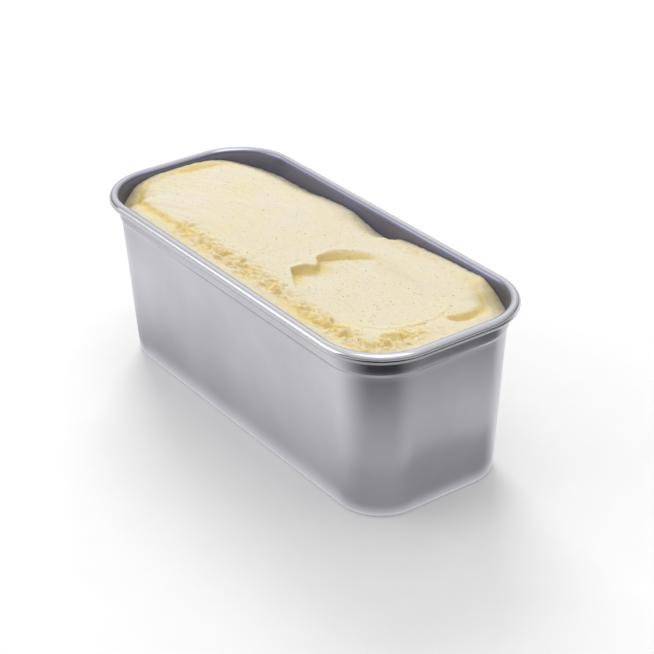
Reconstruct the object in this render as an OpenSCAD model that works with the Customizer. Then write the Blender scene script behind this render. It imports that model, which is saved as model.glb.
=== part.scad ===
// Rectangular gelato pan of stainless sheet steel, filled with ice cream.
// Millimetres, +Z up. The origin is the middle of the flat base, and the
// pan's long sides run along X.

/* [Pan] */
// Length over the rolled rim
pan_l = 360; // [300:1:440]
// Width over the rolled rim
pan_w = 157; // [130:1:200]
// Height from the base to the top of the rim
pan_h = 136; // [110:1:170]
// Thickness of the steel sheet
sheet_t = 0.8; // [0.6:0.1:1.2]
// Corner radius of the rim seen from above, over the bead
rim_corner_r = 50; // [40:1:62]

/* [Rolled rim] */
// Outer radius of the bead that the rim is rolled into
bead_r = 4; // [3:0.1:5]
// Turn of the bead from the collar over the top and round underneath
bead_turn = 245; // [200:1:270]

/* [Wall] */
// Depth of the upright collar below the top of the rim
collar_depth = 18; // [12:0.5:20]
// Height of the stacking shoulder under the collar
shoulder_h = 3; // [2:0.5:8]
// How far the wall steps in at the shoulder
shoulder_in = 1.2; // [0.5:0.1:3]
// How far the foot of the wall lies inside the rim's outer edge
foot_inset = 15.5; // [12:0.5:20]
// Outer radius of the bend between wall and base
bend_r = 5; // [2:0.5:6]

/* [Ice cream] */
// Depth of the ice cream's edge below the top of the rim
fill_drop = 6; // [5:0.5:15]
// Gap between the ice cream and the wall
fill_gap = 0.3; // [0.2:0.1:1]
// Rise of the smoothed mound over the edge
mound_rise = 4; // [0:0.5:6]
// Depth of the spread disc below the edge
disc_drop = 2.5; // [0:0.5:4]
// Depth of the scooped ledges
ledge_depth = 4.5; // [0:0.5:6]
// Depth of the grooves that the spatula left along the ends
groove_depth = 3; // [0:0.5:4]
// Depth of the furrow along the near wall
furrow_depth = 1.5; // [0:0.5:3]
// Distance of the furrow from the wall
furrow_inset = 11; // [8:0.5:16]
// Height of the rough waves in the band along the near wall
rough_h = 1; // [0:0.1:1.5]

/* [Hidden] */
$fn = 96;

// Steps of the curves in the sheet's section
bead_steps = 26;
shoulder_steps = 8;
bend_steps = 6;

// Steps of the ice cream's grid: round a corner, along and across
corner_steps = 9;
along_steps = 52;
across_steps = 26;

// Middle of the corner arcs, the same at every height
arc_x = pan_l / 2 - rim_corner_r;
arc_y = pan_w / 2 - rim_corner_r;

// The sheet's section runs over "in", the distance inside the rim's outer
// edge, and height. The collar's outer face and the shoulder's foot:
collar_in = 2 * bead_r - sheet_t;
shoulder_z = pan_h - collar_depth - shoulder_h;
lean = (foot_inset - collar_in - shoulder_in) / (shoulder_z + shoulder_h / 2);
shoulder_foot_in = collar_in + shoulder_in + lean * shoulder_h / 2;
lean_angle = atan(lean);

// Middle of the bend at the foot, and the edge of the flat base
bend_in = shoulder_foot_in + lean * (shoulder_z - bend_r) + bend_r / cos(lean_angle);

// In-distance of the wall's inner face at height z, under the shoulder
function inner_face_in(z) =
    shoulder_foot_in + lean * (shoulder_z - z) + sheet_t / cos(lean_angle);

// Points on an arc round c, from angle a0 to a1
function arc_points(c, r, a0, a1, steps) =
    [for (i = [0:steps]) let (a = a0 + (a1 - a0) * i / steps) c + r * [cos(a), sin(a)]];

// Eased S from 0 to 1
function ease(u) = u * u * (3 - 2 * u);

// The shoulder's outer face at u from 0, the collar, to 1, the wall, moved
// by d towards the food
function shoulder_point(u, d) =
    let (slope = 6 * shoulder_in * u * (1 - u) + lean * shoulder_h * u,
         face = [collar_in + shoulder_in * ease(u) + lean * shoulder_h * u * u / 2,
                 pan_h - collar_depth - shoulder_h * u])
    face + d * [shoulder_h, slope] / norm([shoulder_h, slope]);

// One face of the sheet, from the bead's free edge to the flat base: the
// outer face at d = 0 and the face towards the food at d = sheet_t
function face_points(d) = concat(
    arc_points([bead_r, pan_h - bead_r], bead_r - sheet_t + d, bead_turn, 0, bead_steps),
    [for (i = [0:shoulder_steps]) shoulder_point(i / shoulder_steps, d)],
    arc_points([bend_in, bend_r], bend_r - d, 180 + lean_angle, 270, bend_steps));

function reversed(points) = [for (i = [len(points) - 1:-1:0]) points[i]];

// Section of the rolled and drawn sheet, measured from the corner arcs' middle
module sheet_section() {
    loop = concat(face_points(sheet_t), reversed(face_points(0)));
    polygon([for (p = loop) [rim_corner_r - p[0], p[1]]]);
}

// Flat base inside the bend
module base_plate() {
    base_r = rim_corner_r - bend_in;
    linear_extrude(height = sheet_t) {
        square([2 * (arc_x + base_r), 2 * arc_y], center = true);
        square([2 * arc_x, 2 * (arc_y + base_r)], center = true);
        for (sx = [-1, 1], sy = [-1, 1]) translate([sx * arc_x, sy * arc_y]) circle(base_r);
    }
}

module pan() {
    color("silver") {
        for (side = [0:3]) {
            across = side % 2 == 0 ? arc_x : arc_y;
            along = side % 2 == 0 ? arc_y : arc_x;
            rotate(90 * side) translate([across, along, 0]) {
                rotate_extrude(angle = 90) sheet_section();
                rotate([90, 0, 0]) linear_extrude(height = 2 * along) sheet_section();
            }
        }
        base_plate();
    }
}

// Half-way sizes of the ice cream's top, which stays clear of the shoulder
top_in = inner_face_in(shoulder_z) + fill_gap;
top_r = rim_corner_r - top_in;
half_l = arc_x + top_r;
half_w = arc_y + top_r;

// A smooth hill of height 1 at d = 0 that is gone at about d = 2
function hill(d) = exp(-d * d);

// A smooth step from 0 to 1 as e runs from -2 to 2
function rise(e) = 1 / (1 + exp(-2 * e));

// Distance of a point from the edge of the ice cream's top
function edge_distance(x, y) =
    let (qx = abs(x) - arc_x, qy = abs(y) - arc_y)
    top_r - norm([max(qx, 0), max(qy, 0)]) - min(max(qx, qy), 0);

// Hollows where the edge falls away from the wall, as shares of the half
// length and width: [along, across, depth, reach]
edge_hollows = [
    [0.03, 1, 13, 24], [0.84, 0.98, 10, 22], [-0.90, 0.86, 8, 28], [-0.96, -0.78, 10, 20], [0.93, -0.82, 4, 24],
    [-0.70, 1, 8, 27], [-0.43, 1, 10, 27], [-0.16, 1, 7, 22]];

// Two scooped ledges that drop towards +X: [along, across, reach]
ledges = [[0.16, -0.36, 14], [0.17, 0.12, 17]];

// Spread disc: [along, across, half length, half width]
disc = [0.54, -0.10, 54, 36];

// Smoothed mound: [along, across, half length, half width]
mound = [-0.30, 0.05, 125, 62];

// Grooves along the ends: [end, distance from the edge, across, reach across]
grooves = [[-1, 8, 0.12, 36], [1, 17, 0.46, 15]];

function mound_z(x, y) =
    mound_rise * hill((x - mound[0] * half_l) / mound[2]) * hill((y - mound[1] * half_w) / mound[3]);

function disc_z(x, y) =
    let (d = norm([(x - disc[0] * half_l) / disc[2], (y - disc[1] * half_w) / disc[3]]))
    -disc_drop * rise((1 - d) * 8);

// A ledge is steep on its -X side and runs out slowly towards +X
function ledge_z(x, y, ledge) =
    let (dx = x - ledge[0] * half_l, dy = y - ledge[1] * half_w)
    -ledge_depth * rise(dx / 3) * hill(max(dx, 0) / ledge[2]) * hill(dy / ledge[2]);

function groove_z(x, y, groove) =
    x * groove[0] < arc_x ? 0 :
    -groove_depth * hill((edge_distance(x, y) - groove[1]) / 4)
    * hill((y - groove[2] * half_w) / groove[3]);

function furrow_z(x, y) =
    -furrow_depth * hill((y + half_w - furrow_inset) / 5) * rise((arc_x - abs(x)) / 15);

function hollow_z(x, y, hollow) =
    -hollow[2] * hill(norm([x - hollow[0] * half_l, y - hollow[1] * half_w]) / hollow[3]);

function rough_z(x, y) =
    rough_h * hill((y / half_w + 0.72) / 0.25) * (sin(x * 19 + y * 31) + sin(x * 41 - y * 23)) / 2;

function total(values) = values * [for (v = values) 1];

function surface_z(x, y) =
    pan_h - fill_drop + mound_z(x, y) + disc_z(x, y) + furrow_z(x, y) + rough_z(x, y)
    + total([for (ledge = ledges) ledge_z(x, y, ledge)])
    + total([for (groove = grooves) groove_z(x, y, groove)])
    + total([for (hollow = edge_hollows) hollow_z(x, y, hollow)]);

// Stations along X, with the half width there: round the -X corners, along
// the straight sides, and round the +X corners
function corner_station(end, a, r) = [end * (arc_x + r * sin(a)), arc_y + r * cos(a)];

function stations(r) = concat(
    [for (i = [0:corner_steps - 1]) corner_station(-1, 90 - 90 * i / corner_steps, r)],
    [for (i = [0:along_steps]) [-arc_x + 2 * arc_x * i / along_steps, arc_y + r]],
    [for (i = [1:corner_steps]) corner_station(1, 90 * i / corner_steps, r)]);

last_station = 2 * corner_steps + along_steps;

// Grid places round the edge, anticlockwise: [station, step across]
edge_places = concat(
    [for (i = [0:last_station - 1]) [i, 0]],
    [for (j = [0:across_steps - 1]) [last_station, j]],
    [for (i = [last_station:-1:1]) [i, across_steps]],
    [for (j = [across_steps:-1:1]) [0, j]]);

function grid_xy(place, list) =
    [list[place[0]][0], list[place[0]][1] * (2 * place[1] / across_steps - 1)];

// Triangles of the flat underside on a ring: a strip between each two stations,
// and a fan at each end. near_n and far_n count the ring's points at a station.
function near_n(i) = i;
function far_n(i) = 2 * last_station + across_steps - i;
function underside_faces(round) = let (k = last_station, last = across_steps) concat(
    [for (i = [1:k - 2]) [near_n(i), near_n(i + 1), far_n(i + 1)]],
    [for (i = [1:k - 2]) [near_n(i), far_n(i + 1), far_n(i)]],
    [for (j = [0:last - 1]) [near_n(k - 1), k + j, k + j + 1]],
    [[near_n(k - 1), far_n(k), far_n(k - 1)], [near_n(1), far_n(1), far_n(0)]],
    [for (j = [0:last - 1]) [near_n(1), round - j - 1, (round - j) % round]]);

// Rings up the side of the ice cream: [corner radius, height]
side_rings = [
    [rim_corner_r - bend_in, sheet_t],
    [rim_corner_r - inner_face_in(bend_r) - fill_gap, bend_r],
    [top_r, shoulder_z]];

module ice_cream() {
    top = stations(top_r);
    top_points = [for (i = [0:last_station], j = [0:across_steps])
        let (p = grid_xy([i, j], top)) [p[0], p[1], surface_z(p[0], p[1])]];
    side_points = [for (ring = side_rings) let (list = stations(ring[0]))
        for (place = edge_places) let (p = grid_xy(place, list)) [p[0], p[1], ring[1]]];
    row = across_steps + 1;
    round = len(edge_places);
    first_side = len(top_points);
    edge_index = [for (place = edge_places) place[0] * row + place[1]];
    ring_index = concat(
        [for (k = [0:len(side_rings) - 1]) [for (n = [0:round - 1]) first_side + k * round + n]],
        [edge_index]);
    top_faces = [for (i = [0:last_station - 1], j = [0:across_steps - 1], half = [0, 1])
        let (a = i * row + j) half == 0 ? [a, a + 1, a + row + 1] : [a, a + row + 1, a + row]];
    side_faces = [for (k = [0:len(side_rings) - 1], n = [0:round - 1], half = [0, 1])
        let (m = (n + 1) % round, low = ring_index[k], high = ring_index[k + 1])
        half == 0 ? [low[n], high[n], high[m]] : [low[n], high[m], low[m]]];
    base_faces = [for (f = underside_faces(round)) [for (n = f) ring_index[0][n]]];
    color("lemonchiffon")
        polyhedron(concat(top_points, side_points),
                   concat(top_faces, side_faces, base_faces), convexity = 6);
}

pan();
ice_cream();
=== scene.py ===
"""Looks of a stainless-steel gelato pan filled with vanilla ice cream.

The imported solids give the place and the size. This script builds the sheet-metal
pan, the spread ice cream and its vanilla grains as detailed meshes in that frame,
and sets up a plain studio with a camera.
"""
import logging
import math
from dataclasses import dataclass
from enum import Enum
from typing import Sequence

import bpy
import numpy as np
from mathutils import Matrix, Vector


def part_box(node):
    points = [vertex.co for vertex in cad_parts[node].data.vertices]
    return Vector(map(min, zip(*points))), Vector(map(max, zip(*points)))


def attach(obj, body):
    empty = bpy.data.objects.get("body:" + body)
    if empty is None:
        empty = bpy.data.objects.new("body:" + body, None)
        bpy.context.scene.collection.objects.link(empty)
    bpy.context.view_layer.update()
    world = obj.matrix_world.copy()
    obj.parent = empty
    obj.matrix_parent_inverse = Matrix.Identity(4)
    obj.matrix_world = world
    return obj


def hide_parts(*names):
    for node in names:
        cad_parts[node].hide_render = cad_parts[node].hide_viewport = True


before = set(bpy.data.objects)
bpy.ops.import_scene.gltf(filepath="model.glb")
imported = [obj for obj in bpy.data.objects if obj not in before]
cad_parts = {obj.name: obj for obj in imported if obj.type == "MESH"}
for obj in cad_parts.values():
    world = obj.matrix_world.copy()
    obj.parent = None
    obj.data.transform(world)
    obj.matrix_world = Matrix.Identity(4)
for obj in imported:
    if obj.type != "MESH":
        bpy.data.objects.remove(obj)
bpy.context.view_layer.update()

log = logging.getLogger("gelato_pan")

MM = 0.001
BODY = "root"


class Slot(Enum):
    """The record's material slots."""

    STEEL = "steel"
    ICE_CREAM = "ice_cream"
    SEED = "vanilla_seed"


# ---------------------------------------------------------------- shared helpers
class Ripple:
    """A smooth random field over a plane, the same on every run."""

    CELLS = 256

    def __init__(self, seed: int) -> None:
        """Draw the lattice directions.

        Args:
            seed: Number that fixes the random draw.
        """
        draw = np.random.default_rng(seed)
        turn = draw.uniform(0.0, 2.0 * math.pi, self.CELLS)
        self.slope_x = np.cos(turn)
        self.slope_y = np.sin(turn)
        self.order = draw.permutation(self.CELLS)

    def _corner(self, ix: np.ndarray, iy: np.ndarray, fx: np.ndarray, fy: np.ndarray) -> np.ndarray:
        """Work out one lattice corner's share of the field.

        Args:
            ix: Lattice column of the corner.
            iy: Lattice row of the corner.
            fx: Distance from the corner along the first coordinate, in cells.
            fy: Distance along the second coordinate.

        Returns:
            The share of each place.
        """
        pick = self.order[(self.order[ix % self.CELLS] + iy) % self.CELLS]
        return self.slope_x[pick] * fx + self.slope_y[pick] * fy

    def at(self, x: np.ndarray, y: np.ndarray) -> np.ndarray:
        """Sample the field.

        Args:
            x: First coordinate, in cells.
            y: Second coordinate, in cells.

        Returns:
            Values of about -0.7 to 0.7, smooth over one cell.
        """
        ix, iy = np.floor(x).astype(int), np.floor(y).astype(int)
        fx, fy = x - ix, y - iy
        ux, uy = ease(fx), ease(fy)
        rows = []
        for step in (0, 1):
            left = self._corner(ix, iy + step, fx, fy - step)
            right = self._corner(ix + 1, iy + step, fx - 1, fy - step)
            rows.append((1 - ux) * left + ux * right)
        return (1 - uy) * rows[0] + uy * rows[1]

    def layered(self, x: np.ndarray, y: np.ndarray, octaves: int, fold: bool = False) -> np.ndarray:
        """Sum several octaves of the field.

        Args:
            x: First coordinate, in cells of the coarsest octave.
            y: Second coordinate, in the same cells.
            octaves: How many octaves, each at half the size and strength.
            fold: Whether each octave is folded into rounded lumps with creases.

        Returns:
            Values of about -1 to 1, or 0 to 1 when folded.
        """
        total = np.zeros(np.broadcast(x, y).shape)
        for k in range(octaves):
            layer = self.at(x * 2.0**k + 17.3 * k, y * 2.0**k - 9.1 * k)
            total += (np.abs(layer) * 2.0 if fold else layer) / 2.0**k
        return total


def ease(u: np.ndarray) -> np.ndarray:
    """Return an eased step that runs from 0 to 1 as u does, and stays there."""
    u = np.clip(u, 0.0, 1.0)
    return u * u * (3.0 - 2.0 * u)


def hill(d: np.ndarray) -> np.ndarray:
    """Return a smooth hill of height 1 at d = 0 that is gone at about d = 2."""
    return np.exp(-d * d)


def mesh_object(name: str, points: np.ndarray, faces: Sequence[Sequence[int]],
                smooth: bool = True) -> bpy.types.Object:
    """Make a mesh object in the scene.

    Args:
        name: Name of the object and its mesh.
        points: Vertices, in metres, one a row.
        faces: Vertex numbers of each face.
        smooth: Whether the faces are shaded smooth.

    Returns:
        The new object.
    """
    mesh = bpy.data.meshes.new(name)
    mesh.from_pydata(np.asarray(points, float).tolist(), [], [list(f) for f in faces])
    mesh.validate()
    mesh.update()
    mesh.polygons.foreach_set("use_smooth", [smooth] * len(mesh.polygons))
    made = bpy.data.objects.new(name, mesh)
    bpy.context.scene.collection.objects.link(made)
    return made


def grid_faces(rows: int, columns: int) -> list[tuple[int, int, int, int]]:
    """Join a grid of vertices, numbered row by row, into quads.

    Args:
        rows: Number of vertex rows.
        columns: Number of vertices in a row.

    Returns:
        The faces, seen from the side where rows run right and columns run up.
    """
    return [(i * columns + j, (i + 1) * columns + j, (i + 1) * columns + j + 1, i * columns + j + 1)
            for i in range(rows - 1) for j in range(columns - 1)]


def store_values(piece: bpy.types.Object, name: str, values: np.ndarray) -> None:
    """Keep one number a vertex on a piece, for its material to read."""
    kept = piece.data.attributes.new(name, "FLOAT", "POINT")
    kept.data.foreach_set("value", np.asarray(values, np.float32))


class NodeSheet:
    """Short ways to add and join the nodes of one material."""

    def __init__(self, name: str) -> None:
        """Start a material with a Principled shader.

        Args:
            name: Name of the material.
        """
        self.material = bpy.data.materials.new(name)
        self.material.use_nodes = True
        self.tree = self.material.node_tree
        self.shader = self.tree.nodes["Principled BSDF"]
        self.place = self.add("ShaderNodeTexCoord").outputs["Object"]

    def add(self, kind: str, **settings: object) -> bpy.types.Node:
        """Add a node.

        Args:
            kind: Blender's name of the node's type.
            settings: Values by name; a name of an input fills it, others are set on the node.

        Returns:
            The node.
        """
        node = self.tree.nodes.new(kind)
        for key, value in settings.items():
            if key in node.inputs:
                node.inputs[key].default_value = value
            else:
                setattr(node, key, value)
        return node

    def join(self, source: bpy.types.NodeSocket, target: bpy.types.NodeSocket) -> None:
        """Run a link from one socket to another."""
        self.tree.links.new(source, target)

    def noise(self, scale: float, stretch: tuple[float, float, float] = (1, 1, 1), detail: float = 4.0,
              roughness: float = 0.55) -> bpy.types.NodeSocket:
        """Add a noise pattern.

        Args:
            scale: Cells a metre.
            stretch: Factors on the three coordinates, to draw the pattern out.
            detail: Octaves.
            roughness: Share of each finer octave.

        Returns:
            The socket that holds the pattern.
        """
        moved = self.add("ShaderNodeMapping")
        moved.inputs["Scale"].default_value = stretch
        self.join(self.place, moved.inputs["Vector"])
        pattern = self.add("ShaderNodeTexNoise", Scale=scale, Detail=detail, Roughness=roughness)
        self.join(moved.outputs["Vector"], pattern.inputs["Vector"])
        return pattern.outputs["Fac"]

    def spread(self, source: bpy.types.NodeSocket, low: float, high: float, to_low: float,
               to_high: float) -> bpy.types.NodeSocket:
        """Map a value from one range to another, clamped.

        Args:
            source: Socket of the value.
            low: Value that maps to to_low.
            high: Value that maps to to_high.
            to_low: Result at the low end.
            to_high: Result at the high end.

        Returns:
            The socket of the mapped value.
        """
        ranged = self.add("ShaderNodeMapRange")
        ranged.inputs["From Min"].default_value = low
        ranged.inputs["From Max"].default_value = high
        ranged.inputs["To Min"].default_value = to_low
        ranged.inputs["To Max"].default_value = to_high
        self.join(source, ranged.inputs["Value"])
        return ranged.outputs["Result"]

    def blend(self, share: bpy.types.NodeSocket, first: object, second: object) -> bpy.types.NodeSocket:
        """Mix two colours.

        Args:
            share: Socket of the second colour's share.
            first: Colour at share 0, as a tuple or a socket.
            second: Colour at share 1, as a tuple or a socket.

        Returns:
            The socket of the mixed colour.
        """
        mix = self.add("ShaderNodeMix", data_type="RGBA")
        self.join(share, mix.inputs[0])
        for colour, socket in ((first, mix.inputs[6]), (second, mix.inputs[7])):
            if isinstance(colour, tuple):
                socket.default_value = (*colour, 1.0)
            else:
                self.join(colour, socket)
        return mix.outputs[2]

    def relief(self, height: bpy.types.NodeSocket, distance: float, strength: float,
               under: bpy.types.NodeSocket | None = None) -> bpy.types.NodeSocket:
        """Turn a height pattern into a bumped normal.

        Args:
            height: Socket of the pattern.
            distance: Height of the pattern, in metres.
            strength: Share of the effect.
            under: Socket of a normal that this one goes on top of.

        Returns:
            The socket of the normal.
        """
        bump = self.add("ShaderNodeBump", Distance=distance, Strength=strength)
        self.join(height, bump.inputs["Height"])
        if under is not None:
            self.join(under, bump.inputs["Normal"])
        return bump.outputs["Normal"]


# ---------------------------------------------------------------- finishes
@dataclass(frozen=True)
class SteelFinish:
    """Satin stainless sheet: a soft mirror with fine drawn lines, duller inside; the inside faces carry
    painted shade (a darker, bluish colour) and the bead's top a painted highlight (a lighter colour).
    """

    name: str = "satin_steel"
    colour: tuple[float, float, float] = (0.60, 0.59, 0.64)
    shade: tuple[float, float, float] = (0.55, 0.54, 0.59)
    # painted shade colour of the inside faces, and painted highlight colour of the bead's top
    inner_shade_colour: tuple[float, float, float] = (0.22, 0.23, 0.36)
    rim_highlight_colour: tuple[float, float, float] = (0.74, 0.74, 0.79)
    smoothest: float = 0.14
    roughest: float = 0.21
    dull_inside: float = 0.22
    line_height: float = 0.05 * MM
    line_strength: float = 0.05

    def material(self) -> bpy.types.Material:
        """Build the material.

        Returns:
            The material.
        """
        sheet = NodeSheet(self.name)
        shader = sheet.shader
        shader.inputs["Metallic"].default_value = 1.0
        cloud = sheet.noise(14.0, detail=3.0)
        lines = sheet.noise(900.0, stretch=(1.0, 1.0, 0.03), detail=2.0)
        tone = sheet.spread(cloud, 0.35, 0.65, 0.0, 1.0)
        # Painted shade: the inside faces blend to a darker, bluish colour and are also rougher. Painted
        # highlight: the bead's top blends to a lighter colour.
        inner = sheet.add("ShaderNodeAttribute", attribute_name="inner").outputs["Fac"]
        outer = sheet.blend(tone, self.shade, self.colour)
        rim = sheet.add("ShaderNodeAttribute", attribute_name="rim").outputs["Fac"]
        body = sheet.blend(inner, outer, self.inner_shade_colour)
        sheet.join(sheet.blend(rim, body, self.rim_highlight_colour), shader.inputs["Base Color"])
        wear = sheet.noise(60.0, stretch=(1.0, 1.0, 0.25), detail=5.0)
        rough = sheet.spread(wear, 0.3, 0.7, self.smoothest, self.roughest)
        dulled = sheet.add("ShaderNodeMath", operation="MULTIPLY_ADD")
        dulled.inputs[1].default_value = self.dull_inside
        sheet.join(inner, dulled.inputs[0])
        sheet.join(rough, dulled.inputs[2])
        sheet.join(dulled.outputs["Value"], shader.inputs["Roughness"])
        sheet.join(sheet.relief(lines, self.line_height, self.line_strength), shader.inputs["Normal"])
        return sheet.material


@dataclass(frozen=True)
class CreamFinish:
    """Frozen cream: pale and soft, with painted shade that turns its furrows and steep faces a deeper yellow.
    """

    name: str = "vanilla_cream"
    pale: tuple[float, float, float] = (0.785, 0.72, 0.58)
    warm: tuple[float, float, float] = (0.79, 0.705, 0.49)
    # painted shade colour of the furrows and steep faces
    deep: tuple[float, float, float] = (0.79, 0.63, 0.27)
    speck: tuple[float, float, float] = (0.68, 0.60, 0.41)
    soft_share: float = 0.55
    soft_reach: float = 3 * MM
    lump_height: float = 0.4 * MM
    pore_height: float = 0.2 * MM

    def material(self) -> bpy.types.Material:
        """Build the material.

        Returns:
            The material.
        """
        sheet = NodeSheet(self.name)
        shader = sheet.shader
        patch = sheet.spread(sheet.noise(28.0, detail=4.0), 0.35, 0.7, 0.0, 1.0)
        mottle = sheet.spread(sheet.noise(420.0, detail=3.0, roughness=0.7), 0.45, 0.75, 0.0, 0.45)
        base = sheet.blend(mottle, sheet.blend(patch, self.pale, self.warm), self.speck)
        # Painted shade: the hollow share blends in the deeper yellow.
        hollow = sheet.add("ShaderNodeAttribute", attribute_name="hollow").outputs["Fac"]
        sheet.join(sheet.blend(hollow, base, self.deep), shader.inputs["Base Color"])
        shader.inputs["Roughness"].default_value = 0.55
        shader.inputs["Subsurface Weight"].default_value = self.soft_share
        shader.inputs["Subsurface Radius"].default_value = (1.0, 0.7, 0.35)
        shader.inputs["Subsurface Scale"].default_value = self.soft_reach
        pores = sheet.noise(1400.0, detail=3.0, roughness=0.6)
        lumps = sheet.noise(330.0, detail=3.0)
        soft = sheet.relief(lumps, self.lump_height, 0.5)
        sheet.join(sheet.relief(pores, self.pore_height, 0.5, soft), shader.inputs["Normal"])
        return sheet.material


@dataclass(frozen=True)
class SeedFinish:
    """Vanilla grains: dull dark brown."""

    name: str = "vanilla_grain"
    dark: tuple[float, float, float] = (0.16, 0.11, 0.07)
    light: tuple[float, float, float] = (0.30, 0.22, 0.14)

    def material(self) -> bpy.types.Material:
        """Build the material.

        Returns:
            The material.
        """
        sheet = NodeSheet(self.name)
        tone = sheet.spread(sheet.noise(700.0), 0.35, 0.65, 0.0, 1.0)
        sheet.join(sheet.blend(tone, self.dark, self.light), sheet.shader.inputs["Base Color"])
        sheet.shader.inputs["Roughness"].default_value = 0.6
        sheet.join(sheet.relief(sheet.noise(4000.0), 0.1 * MM, 0.4), sheet.shader.inputs["Normal"])
        return sheet.material


@dataclass(frozen=True)
class FloorFinish:
    """Plain pale studio paper."""

    name: str = "studio_paper"
    colour: tuple[float, float, float] = (0.96, 0.96, 0.96)
    other: tuple[float, float, float] = (0.94, 0.94, 0.94)

    def material(self) -> bpy.types.Material:
        """Build the material.

        Returns:
            The material.
        """
        sheet = NodeSheet(self.name)
        tone = sheet.spread(sheet.noise(40.0), 0.3, 0.7, 0.0, 1.0)
        sheet.join(sheet.blend(tone, self.other, self.colour), sheet.shader.inputs["Base Color"])
        sheet.shader.inputs["Roughness"].default_value = 0.7
        sheet.shader.inputs["Specular IOR Level"].default_value = 0.2
        return sheet.material


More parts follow.
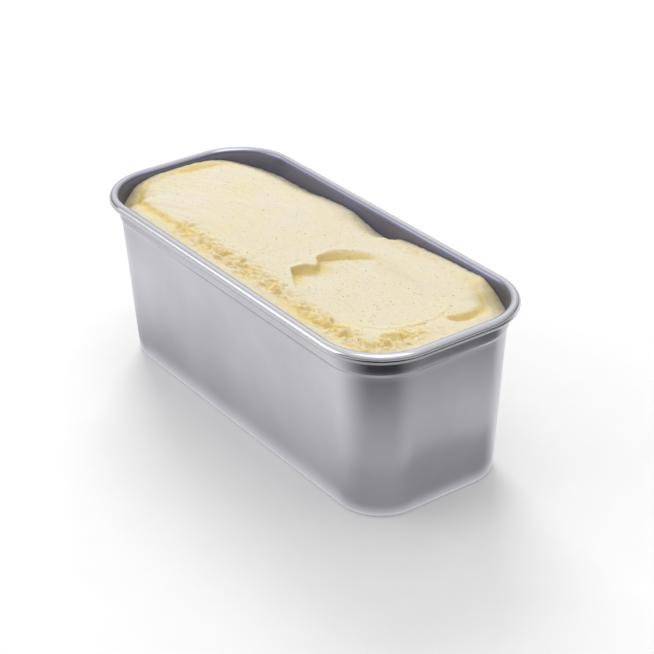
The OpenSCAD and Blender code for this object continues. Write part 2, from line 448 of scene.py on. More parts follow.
# ---------------------------------------------------------------- the pan
@dataclass
class Pan:
    """The sheet-metal pan: rolled rim, collar, shoulder, tapered wall and flat base."""

    high: Vector
    sheet: float = 0.8 * MM
    corner_r: float = 50 * MM
    bead_r: float = 4 * MM
    bead_turn: float = 245.0
    collar_depth: float = 18 * MM
    shoulder_h: float = 3 * MM
    shoulder_in: float = 1.2 * MM
    foot_inset: float = 15.5 * MM
    bend_r: float = 5 * MM
    corner_steps: int = 40
    side_step: float = 5 * MM
    bead_rows: int = 44
    crown_row: int = 27
    inner_row: int = 33
    wall_rows: int = 26
    waviness: float = 0.07 * MM

    def __post_init__(self) -> None:
        """Work out the places that follow from the sizes."""
        self.height = self.high.z
        self.arc_x = self.high.x - self.corner_r
        self.arc_y = self.high.y - self.corner_r
        self.collar_in = 2 * self.bead_r - self.sheet
        self.shoulder_z = self.height - self.collar_depth - self.shoulder_h
        self.lean = ((self.foot_inset - self.collar_in - self.shoulder_in)
                     / (self.shoulder_z + self.shoulder_h / 2))
        self.shoulder_foot = self.collar_in + self.shoulder_in + self.lean * self.shoulder_h / 2
        slant = math.hypot(1.0, self.lean)
        self.bend_in = (self.shoulder_foot + self.lean * (self.shoulder_z - self.bend_r)
                        + self.bend_r * slant)

    def inner_face_in(self, z: np.ndarray) -> np.ndarray:
        """Work out how far the wall's inner face lies inside the rim's edge.

        Args:
            z: Heights, in metres.

        Returns:
            The distance at each height, in metres.
        """
        slant = math.hypot(1.0, self.lean)
        under = self.shoulder_foot + self.lean * (self.shoulder_z - z) + self.sheet * slant
        u = np.clip((self.height - self.collar_depth - z) / self.shoulder_h, 0.0, 1.0)
        shoulder = (self.collar_in + self.shoulder_in * ease(u)
                    + self.lean * self.shoulder_h * u * u / 2 + self.sheet)
        return np.where(z < self.shoulder_z, under, shoulder)

    def section(self, depth: float) -> np.ndarray:
        """Draw one face of the sheet from the bead's free edge to the flat base.

        Args:
            depth: 0 for the outer face, the sheet's thickness for the face towards the food.

        Returns:
            Rows of (distance inside the rim's edge, height).
        """
        turn = np.radians(np.linspace(self.bead_turn, 0.0, self.bead_rows))
        radius = self.bead_r - self.sheet + depth
        bead = np.c_[self.bead_r + radius * np.cos(turn),
                     self.height - self.bead_r + radius * np.sin(turn)]
        collar_z = np.linspace(self.height - self.bead_r, self.height - self.collar_depth, 6)[1:-1]
        collar = np.c_[np.full(len(collar_z), self.collar_in + depth), collar_z]
        u = np.linspace(0.0, 1.0, 13)
        slope = 6 * self.shoulder_in * u * (1 - u) + self.lean * self.shoulder_h * u
        face = np.c_[self.collar_in + self.shoulder_in * ease(u) + self.lean * self.shoulder_h * u * u / 2,
                     self.height - self.collar_depth - self.shoulder_h * u]
        across = np.c_[np.full(len(u), self.shoulder_h), slope]
        shoulder = face + depth * across / np.hypot(across[:, 0], across[:, 1])[:, None]
        angle = math.atan(self.lean)
        bend_turn = np.linspace(math.pi + angle, 1.5 * math.pi, 10)
        bend_radius = self.bend_r - depth
        bend = np.c_[self.bend_in + bend_radius * np.cos(bend_turn),
                     self.bend_r + bend_radius * np.sin(bend_turn)]
        share = np.linspace(0.0, 1.0, self.wall_rows + 1)[1:-1, None]
        wall = shoulder[-1] + (bend[0] - shoulder[-1]) * share
        return np.concatenate([bead, collar, shoulder, wall, bend])

    def path(self) -> tuple[np.ndarray, np.ndarray]:
        """Walk once round the pan.

        Returns:
            The arc middles or side points, and the outward directions, one a row.
        """
        middles, outward = [], []
        corners = [(1, 1, 0.0), (-1, 1, 90.0), (-1, -1, 180.0), (1, -1, 270.0)]
        for k, (sx, sy, start) in enumerate(corners):
            middle = np.array([sx * self.arc_x, sy * self.arc_y])
            for i in range(self.corner_steps + 1):
                turn = math.radians(start + 90.0 * i / self.corner_steps)
                middles.append(middle)
                outward.append((math.cos(turn), math.sin(turn)))
            nx, ny, _ = corners[(k + 1) % 4]
            after = np.array([nx * self.arc_x, ny * self.arc_y])
            steps = max(2, round(float(np.abs(after - middle).sum()) / self.side_step))
            for i in range(1, steps):
                middles.append(middle + (after - middle) * i / steps)
                outward.append(outward[-1])
        return np.array(middles), np.array(outward)

    def build(self) -> bpy.types.Object:
        """Sweep the section round the path and close the base.

        Returns:
            The pan's mesh object.
        """
        middles, outward = self.path()
        inside, outside = self.section(self.sheet), self.section(0.0)
        rings = np.concatenate([outside[::-1], inside])
        around, rows = len(middles), len(rings)
        reach = self.corner_r - rings[:, 0]
        flat = middles[None] + outward[None] * reach[:, None, None]
        points = np.concatenate([flat, np.broadcast_to(rings[:, 1, None, None], (rows, around, 1))], axis=2)
        points = self.worked(points, outward)
        faces = []
        for r in range(rows - 1):
            for i in range(around):
                n = (i + 1) % around
                faces.append((r * around + i, (r + 1) * around + i, (r + 1) * around + n, r * around + n))
        faces.append(list(range(around))[::-1])
        faces.append([(rows - 1) * around + i for i in range(around)])
        pan = mesh_object("steel_pan", points.reshape(-1, 3), faces)
        # The inside mask sets the rougher finish and the painted shade of the inside faces; the rim mask sets
        # the painted highlight on the bead's top.
        past_free_edge = np.arange(rows) - len(outside)
        inner = ease((past_free_edge - self.inner_row) / 6.0)
        crown = 1 - ease((past_free_edge - self.crown_row) / 6.0)
        rim = crown * ease((rings[:, 1] - self.height + 5.5 * MM) / (3 * MM))
        store_values(pan, "inner", np.repeat(inner, around))
        store_values(pan, "rim", np.repeat(rim, around))
        return pan

    def make(self) -> None:
        """Build the pan, dress it and set it in place of its node."""
        pan = self.build()
        dress(pan, SteelFinish().material())
        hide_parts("pan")

    def away_from_foot(self, x: np.ndarray, y: np.ndarray) -> np.ndarray:
        """Measure floor places against the outline of the pan's foot.

        Args:
            x: Places along the pan, in metres.
            y: Places across the pan, in metres.

        Returns:
            The distance outside the outline, below 0 inside it.
        """
        r = self.corner_r - self.foot_inset
        qx, qy = np.abs(x) - self.arc_x, np.abs(y) - self.arc_y
        return np.hypot(np.maximum(qx, 0), np.maximum(qy, 0)) + np.minimum(np.maximum(qx, qy), 0) - r

    def worked(self, points: np.ndarray, outward: np.ndarray) -> np.ndarray:
        """Give the walls the faint waves that drawing leaves in sheet metal.

        Args:
            points: Rings of vertices, by row and place round.
            outward: Outward direction of each place round.

        Returns:
            The moved vertices.
        """
        z = points[..., 2]
        along = np.cumsum(np.hypot(*np.diff(points[0, :, :2], axis=0, prepend=points[:1, :1, :2][0]).T))
        wave = Ripple(5).layered(along[None, :] / (70 * MM), z / (110 * MM), 2)
        free = ease((self.shoulder_z - z) / (25 * MM)) * ease((z - self.bend_r) / (25 * MM))
        shift = self.waviness * wave * free
        moved = points.copy()
        moved[..., :2] += shift[..., None] * outward[None]
        return moved


# ---------------------------------------------------------------- the ice cream
@dataclass(frozen=True)
class Stroke:
    """A mark drawn through a few places: (x, y, width, depth), in millimetres."""

    places: tuple[tuple[float, float, float, float], ...]

    def trace(self, steps: int = 10) -> np.ndarray:
        """Round the mark's line through its places.

        Args:
            steps: Points from one place to the next.

        Returns:
            Rows of (x, y, width, depth).
        """
        p = np.array(self.places, float)
        p = np.concatenate([[2 * p[0] - p[1]], p, [2 * p[-1] - p[-2]]])
        out = []
        for k in range(1, len(p) - 2):
            for i in range(steps):
                t = i / steps
                out.append(0.5 * (2 * p[k] + (p[k + 1] - p[k - 1]) * t
                                  + (2 * p[k - 1] - 5 * p[k] + 4 * p[k + 1] - p[k + 2]) * t**2
                                  + (3 * p[k] - p[k - 1] - 3 * p[k + 1] + p[k + 2]) * t**3))
        out.append(p[-2])
        return np.array(out)

    def measure(self, x: np.ndarray, y: np.ndarray) -> tuple[np.ndarray, np.ndarray, np.ndarray]:
        """Measure places against the mark.

        Args:
            x: First coordinate, in millimetres.
            y: Second coordinate, in millimetres.

        Returns:
            Signed distance, positive on the left of the line, and the mark's
            width and depth at the nearest place.
        """
        line = self.trace()
        best = np.full(x.shape, 1e9)
        side, width, depth = np.zeros(x.shape), np.zeros(x.shape), np.zeros(x.shape)
        for a, b in zip(line[:-1], line[1:]):
            run = b[:2] - a[:2]
            size = float(run @ run)
            t = np.clip(((x - a[0]) * run[0] + (y - a[1]) * run[1]) / size, 0.0, 1.0)
            dx, dy = x - a[0] - t * run[0], y - a[1] - t * run[1]
            d = np.hypot(dx, dy)
            near = d < best
            best = np.where(near, d, best)
            side = np.where(near, np.sign(dy * run[0] - dx * run[1]), side)
            width = np.where(near, a[2] + t * (b[2] - a[2]), width)
            depth = np.where(near, a[3] + t * (b[3] - a[3]), depth)
        return best * side, width, depth


END_GROOVE = Stroke((
    (-150, 45, 3, 0.4), (-157, 36, 3.5, 1.8), (-161, 22, 5, 2.8), (-162, 6, 5.5, 3.2), (-164, -8, 3.5, 2.0),
    (-164, -24, 3, 1.7), (-161, -36, 3, 2.0), (-154, -46, 3.5, 2.4), (-144, -52, 3.5, 2.4),
    (-130, -55, 4, 2.4), (-112, -56, 4, 2.6), (-95, -56, 4, 2.2), (-76, -55, 4, 1.6), (-60, -57, 4, 0.8)))
NEAR_GROOVE = Stroke((
    (112, 60, 3, 0.3), (126, 58, 3, 1.0), (140, 53, 4, 1.3), (149, 46, 5, 2.2), (153, 36, 5, 3.4),
    (153, 27, 4.5, 4.0), (150, 19, 4, 3.0), (146, 14, 3, 0.5)))
FRONT_FURROW = Stroke((
    (50, -61, 3, 0.3), (70, -60, 4, 1.8), (88, -60, 4, 2.8), (101, -58, 4, 3.2), (109, -54, 3.5, 2.2),
    (116, -50, 3, 0.5)))
CREVICES = (
    Stroke(((120, -60, 3, 0.5), (124, -56, 3, 2.4), (128, -51, 3, 2.0), (132, -46, 2.5, 0.3))),
    Stroke(((4, -50, 2.5, 0.3), (10, -55, 3.5, 2.4), (14, -60, 3, 2.0), (20, -62, 3, 0.3))),
    Stroke(((38, -48, 2.5, 0.3), (42, -53, 3, 2.2), (41, -58, 2.5, 0.6))),
    Stroke(((-24, -48, 2, 0.3), (-21, -54, 2.5, 1.8), (-19, -60, 2.5, 0.3))),
    Stroke(((-40, -50, 2, 0.3), (-38, -56, 2.5, 1.6), (-36, -61, 2, 0.3))),
    Stroke(((-12, -20, 1.2, 0.1), (-9, -27, 1.5, 0.8), (-9, -36, 1.2, 0.1))),
)
LEDGE = Stroke((
    (64, 29, 5, 0.3), (48, 27.5, 6, 2.4), (38, 19, 7, 4.2), (31.5, 11, 7.5, 4.8), (28, 2, 5.5, 4.6),
    (26, -4, 2, 4.2), (32.5, -8, 1.8, 4.0), (37, -12.5, 4, 4.2), (36.5, -18, 7, 5.0), (32.5, -24, 6, 5.8),
    (28.5, -28, 2, 6.0), (34.5, -31.5, 1.6, 5.2), (42, -35.5, 1.6, 3.0), (52, -41, 1.6, 0.3)))
DISC_EDGE = Stroke((
    (46, -42, 3, 0.2), (60, -43, 3, 0.8), (80, -43, 3, 1.2), (100, -41, 3, 1.3), (118, -36, 3, 1.4),
    (131, -24, 3, 1.4), (138, -8, 3, 1.4), (140, 8, 3, 1.2), (136, 24, 3, 0.8), (124, 34, 3, 0.2)))
PASS_SEAM = Stroke((
    (-2, 62, 6, 0.3), (-4, 40, 6, 0.4), (-6, 15, 6, 0.3), (-5, -10, 6, 0.3), (-7, -35, 6, 0.4),
    (-6, -52, 6, 0.2)))


@dataclass
class Surface:
    """Places on the ice cream's top, in millimetres, that its marks are worked into."""

    x: np.ndarray
    y: np.ndarray
    z: np.ndarray
    # hollow is also the share of painted shade colour at each place
    hollow: np.ndarray  # how deep in a furrow each place is, 0 on the open surface


@dataclass
class IceCream:
    """The filling: a spread top with its marks, over sides that follow the wall."""

    pan: Pan
    into_wall: float = 0.3 * MM
    below_shoulder: float = 30 * MM
    grid: float = 0.85 * MM
    # sizes of the top, in millimetres
    fill_drop: float = 6.0
    mound_rise: float = 4.0
    disc_drop: float = 2.5
    swell: float = 0.9
    streak: float = 0.48
    grain: float = 0.14
    fine_grain: float = 0.07
    crease: float = 0.22
    pit: float = 0.25
    lump: float = 3.3
    tear: float = 2.3
    edge_roundness: float = 0.6
    # slopes, rise over run, that take the painted shade colour of a furrow
    steep_from: float = 0.22
    steep_span: float = 0.75
    slope_shade_share: float = 0.55
    side_parts: tuple[float, ...] = (0.9, 0.8, 0.7, 0.6, 0.5, 0.4, 0.2, 0.0)
    # depth below the rim where the ice cream meets the wall, by the distance round
    # the wall from the middle of the -X end, clockwise seen from above, in millimetres
    edge_depth: tuple[tuple[float, float], ...] = (
        (-120, 5.5), (-95, 8), (-75, 15), (-62, 19), (-50, 14), (-39, 8.5), (-26, 5.5), (-18, 4.5), (16, 4),
        (32, 6), (47, 9.5), (63, 14), (82, 17), (127, 16), (141, 15), (154, 13), (180, 11), (193, 11),
        (206, 14.5), (228, 17.5), (240, 16.5), (250, 11), (272, 8.5), (308, 6), (345, 4.5), (355, 9.5),
        (364, 14.5), (372, 17), (382, 16), (398, 11), (416, 7), (440, 5.5), (600, 5.5))

    def __post_init__(self) -> None:
        """Work out the outline at the rim and set up the random fields."""
        rim_in = self.pan.inner_face_in(np.array(self.pan.height))
        self.top_r = float(self.pan.corner_r - rim_in + self.into_wall)
        self.half_l = self.pan.arc_x + self.top_r
        self.half_w = self.pan.arc_y + self.top_r
        self.soft, self.crumb, self.fine = Ripple(11), Ripple(23), Ripple(37)

    def edge_distance(self, x: np.ndarray, y: np.ndarray) -> np.ndarray:
        """Measure places against the wall.

        Args:
            x: Places along the pan, in millimetres.
            y: Places across the pan, in millimetres.

        Returns:
            The distance to the wall, in millimetres.
        """
        qx, qy = np.abs(x) - self.pan.arc_x / MM, np.abs(y) - self.pan.arc_y / MM
        out = np.hypot(np.maximum(qx, 0), np.maximum(qy, 0)) + np.minimum(np.maximum(qx, qy), 0)
        return self.top_r / MM - out

    def way_round(self, x: np.ndarray, y: np.ndarray) -> np.ndarray:
        """Find how far round the wall the nearest wall place is.

        Args:
            x: Places along the pan, in millimetres.
            y: Places across the pan, in millimetres.

        Returns:
            The distance from the middle of the -X end, below 0 on the -Y side.
        """
        ax, ay, r = self.pan.arc_x / MM, self.pan.arc_y / MM, self.top_r / MM
        quarter = r * math.pi / 2
        half = ay + quarter + ax
        along, across = np.abs(x), np.abs(y)
        turn = np.arctan2(np.maximum(across - ay, 0), np.maximum(along - ax, 1e-9)) * r
        in_corner = (along > ax) & (across > ay)
        near_end = ax + r - along < ay + r - across
        on_side = ay + quarter + (ax - np.minimum(along, ax))
        from_end = np.where(in_corner, ay + turn, np.where(near_end, np.minimum(across, ay), on_side))
        distance = np.where(x < 0, from_end, 2 * half - from_end)
        return np.where(y >= 0, distance, -distance)

    def rough_share(self, x: np.ndarray, y: np.ndarray) -> np.ndarray:
        """Tell how torn and crumbly the surface is.

        Args:
            x: Places along the pan, in millimetres.
            y: Places across the pan, in millimetres.

        Returns:
            The share at each place, from 0 to 1.
        """
        front = 1.4 * hill((y + 55) / 10.0) * ease((x + 92) / 14) * (1 - 0.5 * hill((x - 62) / 16))
        corner = 1.9 * hill((x - 146) / 18) * hill((y + 36) / 32) * ease((x - 128 + 0.2 * y) / 12)
        back = 0.75 * hill((y - 62) / 8) * ease((x - 34) / 10)
        left = 0.35 * hill((y + 56) / 6) * ease((x + 140) / 20)
        notch = 0.8 * hill((x - 30) / 18) * hill((y - 61) / 9)
        patchy = 0.75 + 0.6 * self.soft.layered(x / 14.0 + 9, y / 9.0, 2)
        return np.clip((front + corner + back + left + notch) * patchy, 0.0, 1.0)

    def height(self, x: np.ndarray, y: np.ndarray) -> tuple[np.ndarray, np.ndarray]:
        """Work out the spread surface.

        Args:
            x: Places along the pan, in millimetres.
            y: Places across the pan, in millimetres.

        Returns:
            Height above the base in millimetres, and how deep in a furrow each place is.
        """
        rise = self.mound_rise * hill((x + 50) / 125) * hill((y - 2) / 60)
        dip = self.disc_drop * (1 - ease((self.disc_distance(x, y) - 0.75) / 0.45))
        z = self.pan.height / MM - self.fill_drop + rise - dip
        top = Surface(x, y, z, np.zeros_like(z))
        self.scrape(top)
        self.press_seams(top)
        self.cut_furrows(top)
        self.drag(top)
        self.tear_band(top)
        self.meet_wall(top)
        return top.z, np.clip(top.hollow, 0.0, 1.0)

    @staticmethod
    def disc_distance(x: np.ndarray, y: np.ndarray) -> np.ndarray:
        """Measure places, in millimetres, from the middle of the smoothed disc, as a share of its size."""
        return np.hypot((x - 90) / 56, (y + 6) / 38)

    @staticmethod
    def scrape(top: Surface) -> None:
        """Lower the scraped end behind its step, hollow on one half and sheer on the other, with painted
        shade colour on its sloping face.

        Args:
            top: The surface, which is changed.
        """
        off, width, depth = LEDGE.measure(top.x, top.y)
        ramp, rounded = np.clip(off / width + 1.0, 0.0, 1.0), ease((-8.0 - top.y) / 6.0)
        slope = ramp**1.4 * (1 - rounded) + (1 - (1 - ramp)**2.2) * rounded
        top.z -= 0.85 * depth * slope * np.exp(-np.maximum(off, 0) / 22.0)
        top.z += 0.10 * depth * hill((off + width + 1.5) / 2.0)
        top.hollow += depth / 4.6 * ease(off / width + 1.0) * hill(np.maximum(off, 0) / (10.0 - width))
        top.hollow += 0.07 * depth * hill((off + 0.6 * width) / (0.5 * width))

    @staticmethod
    def press_seams(top: Surface) -> None:
        """Press in the fine edge round the disc and the seam between two passes, with painted shade colour in
        the disc's edge groove.

        Args:
            top: The surface, which is changed.
        """
        off, _, depth = DISC_EDGE.measure(top.x, top.y)
        top.z += depth * (0.30 * hill(off / 1.4) - 0.35 * hill((off + 2.5) / 2.0))
        top.hollow += 0.12 * depth * hill((off + 2.5) / 2.0)
        off, _, depth = PASS_SEAM.measure(top.x, top.y)
        top.z += depth * (0.3 * hill(off / 3.0) - 0.6 * ease(off / 5.0) * hill(off / 30.0))

    def cut_furrows(self, top: Surface) -> None:
        """Cut the wandering grooves along the wall and the short crevices, with painted shade colour in them.

        Args:
            top: The surface, which is changed.
        """
        wander = 1.5 * self.soft.layered(top.x / 9.0, top.y / 9.0, 3)
        for stroke in (END_GROOVE, NEAR_GROOVE, FRONT_FURROW):
            off, width, depth = stroke.measure(top.x, top.y)
            top.z -= depth * hill((off + wander) / (0.75 * width))
            top.hollow += depth / 2.5 * hill((off + wander) / width)
        for stroke in CREVICES:
            off, width, depth = stroke.measure(top.x, top.y)
            top.z -= depth * hill(off / (0.55 * width))
            top.hollow += 0.3 * depth * hill(off / (0.8 * width))

    def drag(self, top: Surface) -> None:
        """Add the swells, streaks, creases and pits that spreading leaves, with painted shade colour in the
        creases and pits.

        Args:
            top: The surface, which is changed.
        """
        x, y = top.x, top.y
        bow = y + 0.004 * (x + 60) ** 2 * (x < 20)
        smoothed = 1 - 0.6 * hill(self.disc_distance(x, y) / 0.8)
        top.z += self.swell * self.soft.layered(x / 60.0, y / 38.0, 2)
        top.z += self.streak * self.soft.layered(x / 30.0 + 4, bow / 5.0, 3) * smoothed
        top.z += self.grain * self.fine.layered(x / 5.0, y / 4.0, 3)
        top.z += self.fine_grain * self.fine.layered(x / 1.7, y / 1.7, 2)
        swept = bow + 2.5 * self.soft.layered(x / 14.0, y / 12.0, 2)
        near_line = 1 - ease(np.abs(self.crumb.layered(x / 20.0 + 9, swept / 4.5, 3)) / 0.07)
        creased = near_line * ease(2.2 * self.soft.layered(x / 13.0 - 8, y / 10.0, 2) + 0.35)
        pitted = ease((self.fine.at(x / 1.9 + 3, y / 1.9) - 0.42) / 0.16)
        top.z -= self.crease * creased + self.pit * pitted
        top.hollow += 0.12 * creased + 0.2 * pitted

    def tear_band(self, top: Surface) -> None:
        """Tear up the crumbly band along the wall, with painted shade colour over it and deeper in its
        crevices.

        Args:
            top: The surface, which is changed.
        """
        rough = self.rough_share(top.x, top.y)
        bent_x = top.x + 4.0 * self.soft.at(top.x / 9.0, top.y / 9.0)
        bent_y = top.y + 4.0 * self.soft.at(top.x / 9.0 + 40.5, top.y / 9.0)
        lumps = self.crumb.layered(bent_x / 9.0, bent_y / 5.0, 4, fold=True)
        torn = self.soft.layered(bent_x / 16.0 + 3, bent_y / 5.0, 3)
        top.z += rough * (self.lump * lumps - 2.5 + self.tear * torn)
        top.hollow += rough * (0.18 + 0.6 * ease((0.60 - lumps) / 0.5) + 0.7 * ease(-1.6 * torn))

    def meet_wall(self, top: Surface) -> None:
        """Bend the surface to the depth at which it meets the wall.

        Args:
            top: The surface, which is changed.
        """
        x, y = top.x, top.y
        round_at, deep = np.array(self.edge_depth).T
        stops = np.arange(round_at[0], round_at[-1], 0.5)
        window = hill(np.linspace(-2, 2, 17))
        padded = np.pad(np.interp(stops, round_at, deep), 8, "edge")
        smooth = np.convolve(padded, window / window.sum(), "valid")
        depth = np.interp(self.way_round(x, y), stops, smooth)
        depth -= 0.5 * (self.soft.layered(x / 12.0, y / 12.0, 2) + self.fine.layered(x / 4.5, y / 4.5, 2))
        away = np.maximum(self.edge_distance(x, y), 0)
        share = hill(away / (10.0 + 0.4 * depth))
        top.z += (self.pan.height / MM - depth - top.z) * share - self.edge_roundness * hill(away / 1.6)

    def stations(self, radius: float, corner_steps: int, along_steps: int) -> np.ndarray:
        """List the grid lines across the pan.

        Args:
            radius: Corner radius of the outline, in metres.
            corner_steps: Steps round each corner.
            along_steps: Steps along the straight sides.

        Returns:
            Rows of (x, half width there), from the -X end to the +X end.
        """
        turn = np.linspace(math.pi / 2, 0.0, corner_steps + 1)
        corner = np.c_[self.pan.arc_x + radius * np.sin(turn), self.pan.arc_y + radius * np.cos(turn)]
        straight = np.linspace(-self.pan.arc_x, self.pan.arc_x, along_steps + 1)[1:-1]
        middle = np.c_[straight, np.full(len(straight), self.pan.arc_y + radius)]
        return np.concatenate([corner * [-1, 1], middle, corner[::-1]])

    def build(self) -> bpy.types.Object:
        """Mesh the top on a fine grid, then the sides and the underside.

        Returns:
            The filling's mesh object.
        """
        corner_steps = round(self.top_r * math.pi / 2 / self.grid)
        along_steps = round(2 * self.pan.arc_x / self.grid)
        across = round(2 * self.half_w / self.grid)
        lines = self.stations(self.top_r, corner_steps, along_steps)
        last = len(lines) - 1
        share = np.linspace(-1.0, 1.0, across + 1)
        x = np.repeat(lines[:, :1], across + 1, axis=1)
        y = lines[:, 1:] * share[None]
        z, hollow = self.height(x / MM, y / MM)
        # Steep faces get painted shade colour, on top of the furrows' painted shade.
        shaded_slope = ease((self.steepness(x / MM, y / MM, z) - self.steep_from) / self.steep_span)
        hollow = np.clip(hollow + self.slope_shade_share * shaded_slope, 0.0, 1.0)
        x, y = self.drawn_in(x, y, z * MM)
        top = np.stack([x, y, z * MM], axis=2).reshape(-1, 3)

        places = np.array([(i, 0) for i in range(last)] + [(last, j) for j in range(across)]
                          + [(i, across) for i in range(last, 0, -1)]
                          + [(0, j) for j in range(across, 0, -1)])
        edge = places[:, 0] * (across + 1) + places[:, 1]
        middle = self.stations(0.0, corner_steps, along_steps)[places[:, 0]]
        outward = self.stations(1.0, corner_steps, along_steps)[places[:, 0]] - middle
        points, rings = [top], [edge]
        count = len(top)
        for level, inset in self.side_levels(top[edge, 2]):
            outline = middle + outward * (self.pan.corner_r - inset)[:, None]
            points.append(np.c_[outline[:, 0], outline[:, 1] * share[places[:, 1]], level])
            rings.append(np.arange(count, count + len(edge)))
            count += len(edge)

        faces = grid_faces(last + 1, across + 1)
        for upper, lower in zip(rings[:-1], rings[1:]):
            faces += np.c_[lower, np.roll(lower, -1), np.roll(upper, -1), upper].tolist()
        faces += self.underside(rings[-1].tolist(), last, across)
        filling = mesh_object("vanilla_ice_cream", np.concatenate(points), faces)
        # The hollow share drives the cream's painted shade colour.
        store_values(filling, "hollow", np.r_[hollow.ravel(), np.zeros(count - len(top))])
        return filling

    def make(self) -> None:
        """Build the filling, dress it and set it in place of its node."""
        filling = self.build()
        dress(filling, CreamFinish().material())
        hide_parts("ice_cream")

    @staticmethod
    def steepness(x: np.ndarray, y: np.ndarray, z: np.ndarray) -> np.ndarray:
        """Work out how steep the surface is at each place of the grid.

        Args:
            x: Places along the pan, the same all along one grid line.
            y: Places across the pan.
            z: Heights.

        Returns:
            Rise over run.
        """
        across = np.gradient(z, axis=1) / np.maximum(np.gradient(y, axis=1), 1e-3)
        climb = np.gradient(z, axis=0) - across * np.gradient(y, axis=0)
        return np.hypot(climb / np.maximum(np.gradient(x, axis=0), 0.2), across)

    def drawn_in(self, x: np.ndarray, y: np.ndarray, z: np.ndarray) -> tuple[np.ndarray, np.ndarray]:
        """Move the rim of the surface inwards where it meets the wall under its shoulder.

        Args:
            x: Places along the pan, in metres.
            y: Places across the pan, in metres.
            z: Heights, in metres.

        Returns:
            The moved places.
        """
        dx = x - np.clip(x, -self.pan.arc_x, self.pan.arc_x)
        dy = y - np.clip(y, -self.pan.arc_y, self.pan.arc_y)
        size = np.maximum(np.hypot(dx, dy), 1e-9)
        narrower = self.pan.inner_face_in(z) - self.pan.inner_face_in(np.array(self.pan.height))
        shift = narrower * hill(np.maximum(self.edge_distance(x / MM, y / MM), 0) / 4.0)
        return x - shift * dx / size, y - shift * dy / size

    def side_levels(self, edge_z: np.ndarray) -> list[tuple[np.ndarray, np.ndarray]]:
        """List the levels of the sides, from just under the top's edge to the underside.

        Args:
            edge_z: Height of each edge place, in metres.

        Returns:
            For each level, the height and the distance inside the pan's rim at each edge place.
        """
        foot = self.pan.height - self.below_shoulder
        heights = [foot + (edge_z - foot) * part for part in self.side_parts]
        heights += [np.full_like(edge_z, z) for z in (0.5 * foot, self.pan.bend_r + 1 * MM)]
        levels = [(z, self.pan.inner_face_in(z) - self.into_wall) for z in heights]
        levels.append((np.full_like(edge_z, self.pan.sheet), np.full_like(edge_z, self.pan.bend_in)))
        return levels

    @staticmethod
    def underside(ring: list[int], last: int, across: int) -> list[tuple[int, ...]]:
        """Close the flat underside with strips and a fan at each end.

        Args:
            ring: Vertex numbers round the underside, anticlockwise from above.
            last: Number of the last station.
            across: Steps across the pan.

        Returns:
            The faces, seen from below.
        """
        near, far = ring[:last + 1], ring[last + across:2 * last + across + 1][::-1]
        right, left = ring[last:last + across + 1], [ring[-j] for j in range(across + 1)]
        faces = [(near[i + 1], near[i], far[i], far[i + 1]) for i in range(1, last - 1)]
        faces += [(near[last - 1], right[j + 1], right[j]) for j in range(across)]
        faces += [(near[1], left[j], left[j + 1]) for j in range(across)]
        return faces + [(near[last - 1], far[last - 1], far[last]), (near[1], far[0], far[1])]


def round_body() -> tuple[np.ndarray, np.ndarray]:
    """Take a small ball apart.

    Returns:
        The vertices and the 20 triangles of a unit ball.
    """
    bpy.ops.mesh.primitive_ico_sphere_add(subdivisions=1, radius=1.0)
    ball = bpy.context.object
    points = np.array([v.co for v in ball.data.vertices])
    faces = np.array([list(p.vertices) for p in ball.data.polygons])
    bpy.data.objects.remove(ball, do_unlink=True)
    return points, faces


@dataclass
class Grains:
    """Vanilla grains laid on the ice cream, joined into one mesh; radii in millimetres."""

    cream: IceCream
    count: int = 1400
    smallest: float = 0.13
    largest: float = 0.38
    sunk: float = 0.25
    seed: int = 3

    def density(self, x: np.ndarray, y: np.ndarray) -> np.ndarray:
        """Tell how likely a grain is.

        Args:
            x: Places along the pan, in millimetres.
            y: Places across the pan, in millimetres.

        Returns:
            The likelihood at each place, from 0 to 1.
        """
        inside = ease((self.cream.edge_distance(x, y) - 4.0) / 3.0)
        disc = hill(np.hypot((x - 92) / 52, (y + 2) / 34))
        return inside * np.clip(0.32 + 0.75 * disc, 0, 1) * (1 - 0.9 * self.cream.rough_share(x, y))

    def places(self, draw: np.random.Generator) -> np.ndarray:
        """Draw the places of the grains.

        Args:
            draw: The seeded random draw.

        Returns:
            Rows of (x, y), in millimetres.
        """
        half_l, half_w = self.cream.half_l / MM, self.cream.half_w / MM
        kept = np.zeros((0, 2))
        while len(kept) < self.count:
            x, y = draw.uniform(-half_l, half_l, 500), draw.uniform(-half_w, half_w, 500)
            wanted = draw.uniform(size=500) < self.density(x, y)
            kept = np.concatenate([kept, np.c_[x, y][wanted]])
        return kept[:self.count]

    def build(self) -> bpy.types.Object:
        """Lay out the grains.

        Returns:
            One mesh object of all the grains.
        """
        draw = np.random.default_rng(self.seed)
        body, faces = round_body()
        at = self.places(draw)
        z = self.cream.height(at[:, 0], at[:, 1])[0]
        all_points = []
        for x, y, height in np.c_[at, z]:
            size = self.smallest + (self.largest - self.smallest) * draw.uniform() ** 2.2
            stretch = draw.uniform(0.65, 1.35, 3) * size
            lumpy = 1.0 + 0.14 * draw.standard_normal((len(body), 1))
            turn = np.array(Matrix.Rotation(draw.uniform(0, 6.28), 3, "Z")
                            @ Matrix.Rotation(draw.uniform(-0.8, 0.8), 3, "X"))
            all_points.append(((body * lumpy * stretch) @ turn.T + [x, y, height - self.sunk * size]) * MM)
        numbered = np.concatenate([faces + k * len(body) for k in range(self.count)])
        return mesh_object("vanilla_grains", np.concatenate(all_points), numbered.tolist(), smooth=False)

    def make(self) -> None:
        """Build the grains and dress them."""
        dress(self.build(), SeedFinish().material())


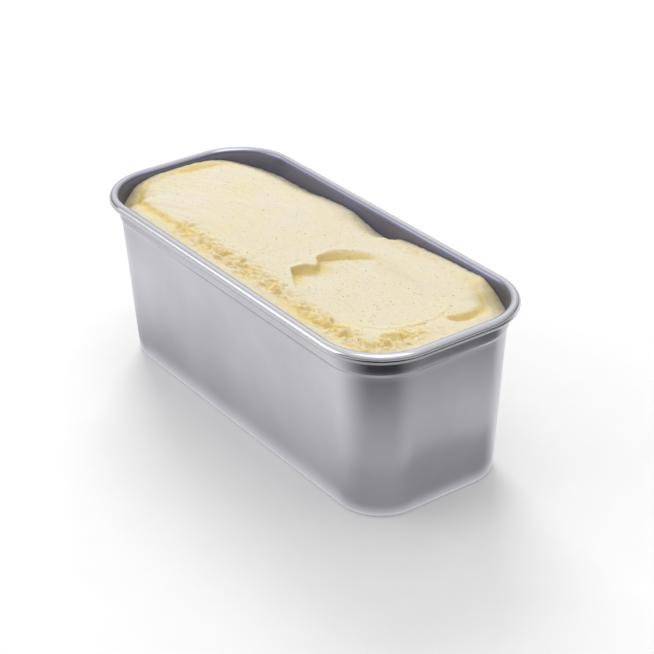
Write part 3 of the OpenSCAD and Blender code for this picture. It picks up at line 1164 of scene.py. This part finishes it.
# ---------------------------------------------------------------- the studio
@dataclass
class Studio:
    """Floor, lights and camera round the part."""

    azimuth: float = 54.687
    elevation: float = 29.03
    distance: float = 1371.65 * MM
    target: tuple[float, float, float] = (-2.122 * MM, 21.663 * MM, 55.001 * MM)
    roll: float = -1.007
    lens: float = 100.62
    sensor: float = 36.0
    key_power: float = 84.0
    top_power: float = 16.0
    fill_power: float = 40.0
    # glow of the card, which paints the reflections in the steel, at distances from the pan's foot, on its
    # three sides towards the camera
    reach: tuple[float, ...] = (0.0, 0.004, 0.012, 0.045, 0.06, 0.09, 0.13, 0.15, 0.20, 0.30)
    long_side: tuple[float, ...] = (0.95, 0.85, 0.54, 0.74, 0.82, 0.92, 0.95, 0.93, 0.84, 0.70)
    near_corner: tuple[float, ...] = (0.90, 0.75, 0.42, 0.46, 0.56, 0.52, 0.36, 0.28, 0.03, 0.01)
    short_side: tuple[float, ...] = (0.90, 0.75, 0.38, 0.42, 0.62, 0.66, 0.54, 0.48, 0.20, 0.15)

    def camera(self) -> None:
        """Stand the camera at the viewing angle."""
        a, e, r = (math.radians(v) for v in (self.azimuth, self.elevation, self.roll))
        back = Vector((math.sin(a) * math.cos(e), -math.cos(a) * math.cos(e), math.sin(e)))
        right = (-back).cross(Vector((0, 0, 1))).normalized()
        up = right.cross(-back)
        right, up = right * math.cos(r) + up * math.sin(r), up * math.cos(r) - right * math.sin(r)
        seat = Vector(self.target) + back * self.distance
        data = bpy.data.cameras.new("camera")
        data.lens, data.sensor_width = self.lens, self.sensor
        data.clip_start, data.clip_end = 0.05, 50.0
        camera = bpy.data.objects.new("camera", data)
        turn = Matrix((right, up, back)).transposed().to_4x4()
        camera.matrix_world = Matrix.Translation(seat) @ turn
        bpy.context.scene.collection.objects.link(camera)
        bpy.context.scene.camera = camera

    def floor(self) -> None:
        """Lay the pale floor."""
        line = np.linspace(-5.0, 5.0, 21)
        x, y = np.meshgrid(line, line, indexing="ij")
        points = np.stack([x, y, np.full_like(x, -0.2 * MM)], axis=2).reshape(-1, 3)
        floor = mesh_object("floor", points, grid_faces(len(line), len(line)))
        floor.data.materials.append(FloorFinish().material())

    def glow(self, pan: Pan, x: np.ndarray, y: np.ndarray) -> np.ndarray:
        """Work out how bright the card is, from side to side and away from the pan.

        Args:
            pan: The pan that stands on the card.
            x: Places along the pan, in metres.
            y: Places across the pan, in metres.

        Returns:
            The brightness of each place, from 0 to 1.
        """
        away = pan.away_from_foot(x, y)
        turn = np.degrees(np.arctan2(y + pan.arc_y, x - pan.arc_x))
        long_side, near_corner, short_side = (np.interp(away, self.reach, glow)
                                              for glow in (self.long_side, self.near_corner, self.short_side))
        in_front = turn < 100
        to_near = ease((turn + 143.0 - 20.0 * np.minimum(away / 0.1, 1.0)) / 72.0) * in_front
        to_short = ease((turn + 18.0) / 36.0) * in_front
        to_back = ease((turn - 60.0) / 25.0) * in_front
        short_side = short_side + (0.85 - short_side) * to_back
        return (long_side * (1 - to_near) + near_corner * to_near) * (1 - to_short) + short_side * to_short

    def flag(self, pan: Pan) -> None:
        """Lay a glowing card over the floor that only mirrors see, darker towards the camera; its glow is
        painted reflection on the steel, with a painted highlight along the base bend and painted dark
        reflections at the near corner.

        Args:
            pan: The pan that stands on the card.
        """
        line = np.r_[-0.9:-0.3:0.02, -0.3:0.3:0.004, 0.3:0.901:0.02]
        x, y = np.meshgrid(line, line, indexing="ij")
        points = np.stack([x, y, np.full_like(x, -0.1 * MM)], axis=2).reshape(-1, 3)
        card = mesh_object("flag_card", points, grid_faces(len(line), len(line)))
        store_values(card, "shade", self.glow(pan, x, y).ravel())
        sheet = NodeSheet("painted_reflection_glow")
        shade = sheet.add("ShaderNodeAttribute", attribute_name="shade").outputs["Fac"]
        glow = sheet.blend(shade, (0.0, 0.0, 0.0), (1.0, 1.0, 1.0))
        sheet.join(glow, sheet.shader.inputs["Emission Color"])
        sheet.shader.inputs["Base Color"].default_value = (0.0, 0.0, 0.0, 1.0)
        sheet.shader.inputs["Specular IOR Level"].default_value = 0.0
        sheet.shader.inputs["Emission Strength"].default_value = 1.0
        card.data.materials.append(sheet.material)
        card.visible_camera = card.visible_diffuse = card.visible_shadow = False
        card.visible_transmission = card.visible_volume_scatter = False

    @staticmethod
    def area(name: str, seat: tuple[float, float, float], size: tuple[float, float],
             power: float) -> bpy.types.Object:
        """Hang a soft light that faces the part.

        Args:
            name: Name of the light.
            seat: Where it hangs, in metres.
            size: Its width and height, in metres.
            power: Its strength, in watts.

        Returns:
            The light.
        """
        data = bpy.data.lights.new(name, "AREA")
        data.shape, data.size, data.size_y = "RECTANGLE", *size
        data.energy = power
        light = bpy.data.objects.new(name, data)
        light.location = seat
        light.rotation_euler = (Vector((0, 0, 0.1)) - Vector(seat)).to_track_quat("-Z", "Y").to_euler()
        bpy.context.scene.collection.objects.link(light)
        return light

    def lights(self) -> None:
        """Hang the soft lights."""
        key = self.area("key", (-3.0, 1.7, 2.7), (2.0, 2.0), self.key_power)
        key.visible_glossy = False
        self.area("top", (0.4, 0.0, 3.5), (2.4, 2.4), self.top_power)
        self.area("fill", (-2.4, -3.6, 2.0), (4.0, 3.0), self.fill_power)

    @staticmethod
    def surroundings() -> None:
        """Set a white room that is brighter above and behind the part."""
        world = bpy.data.worlds.new("surroundings")
        world.use_nodes = True
        nodes, links = world.node_tree.nodes, world.node_tree.links
        direction = nodes.new("ShaderNodeTexCoord").outputs["Generated"]
        total = nodes.new("ShaderNodeMath")
        ways = (((0.0, 0.0, 1.0), (0.1, 1.0, 0.24, 0.86)), ((-0.75, 0.53, 0.40), (0.70, 1.0, 0.0, 0.40)))
        for side, (way, limits) in enumerate(ways):
            facing = nodes.new("ShaderNodeVectorMath")
            facing.operation = "DOT_PRODUCT"
            facing.inputs[1].default_value = way
            ranged = nodes.new("ShaderNodeMapRange")
            for limit, value in zip(("From Min", "From Max", "To Min", "To Max"), limits):
                ranged.inputs[limit].default_value = value
            links.new(direction, facing.inputs[0])
            links.new(facing.outputs["Value"], ranged.inputs["Value"])
            links.new(ranged.outputs["Result"], total.inputs[side])
        links.new(total.outputs["Value"], nodes["Background"].inputs["Strength"])
        nodes["Background"].inputs["Color"].default_value = (1.0, 1.0, 1.0, 1.0)
        bpy.context.scene.world = world
        bpy.context.scene.view_settings.view_transform = "Standard"

    def build(self, pan: Pan) -> None:
        """Set up everything round the part.

        Args:
            pan: The pan that the studio is for.
        """
        self.camera()
        self.floor()
        self.flag(pan)
        self.lights()
        self.surroundings()


# ---------------------------------------------------------------- assembly
def dress(piece: bpy.types.Object, material: bpy.types.Material) -> None:
    """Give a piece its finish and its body.

    Args:
        piece: The mesh object.
        material: Its finish.
    """
    piece.data.materials.append(material)
    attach(piece, BODY)
    log.info("%s: %d faces", piece.name, len(piece.data.polygons))


def main() -> None:
    """Build the pan, the ice cream and the studio."""
    logging.basicConfig(level=logging.INFO, format="%(name)s: %(message)s")
    _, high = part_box("pan")
    pan = Pan(high)
    pan.make()
    cream = IceCream(pan)
    cream.make()
    Grains(cream).make()
    Studio().build(pan)


if __name__ == "__main__":
    main()
